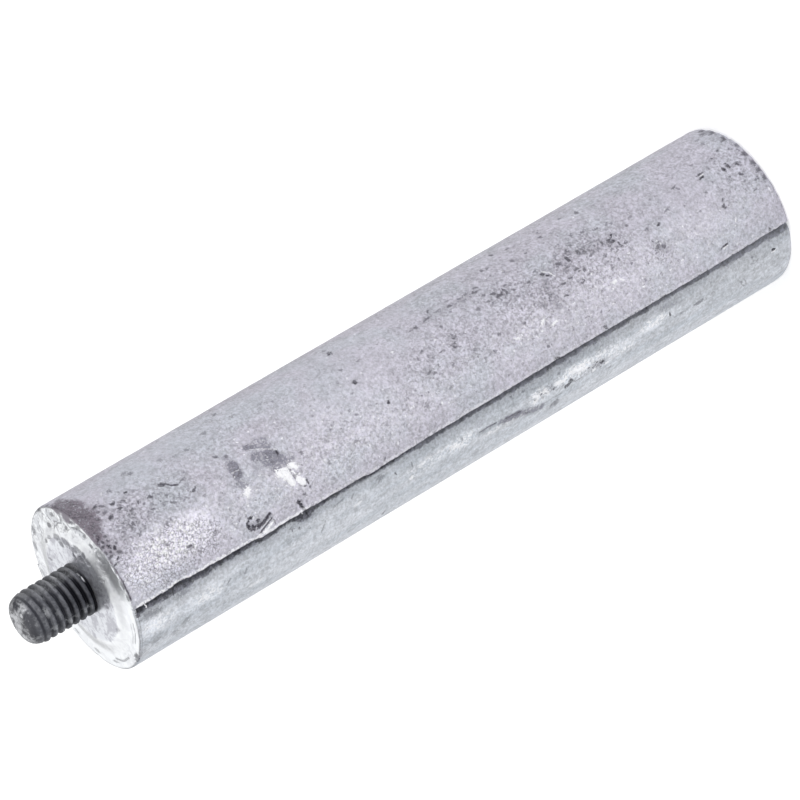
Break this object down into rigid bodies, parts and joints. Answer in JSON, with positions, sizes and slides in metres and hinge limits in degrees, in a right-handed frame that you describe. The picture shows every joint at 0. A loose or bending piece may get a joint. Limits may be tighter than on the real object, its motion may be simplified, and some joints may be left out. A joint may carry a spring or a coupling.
{
  "type": "sacrificial anode",
  "caption": "Cast round sacrificial anode rod on a steel core, with a threaded fixing stud standing out of the low boss on its end.",
  "frame": {"origin": "on the stud's axis, in the plane of the low boss that seats against the flange", "axes": "+Z along the stud, away from the cast body; the mould's parting plane is at right angles to Y, and the ledge where the +Y mould half stands proud is on the +X side"},
  "size_m": [0.0264, 0.026, 0.1317],
  "materials": {
    "cast_magnesium": "as-cast skin, dull and grainy, with a bright worn end face and boss",
    "stud_steel": "dark plain rolled steel"
  },
  "bodies": {
    "root": {"anode_body": "cast_magnesium", "steel_core": "stud_steel"}
  },
  "joints": []
}
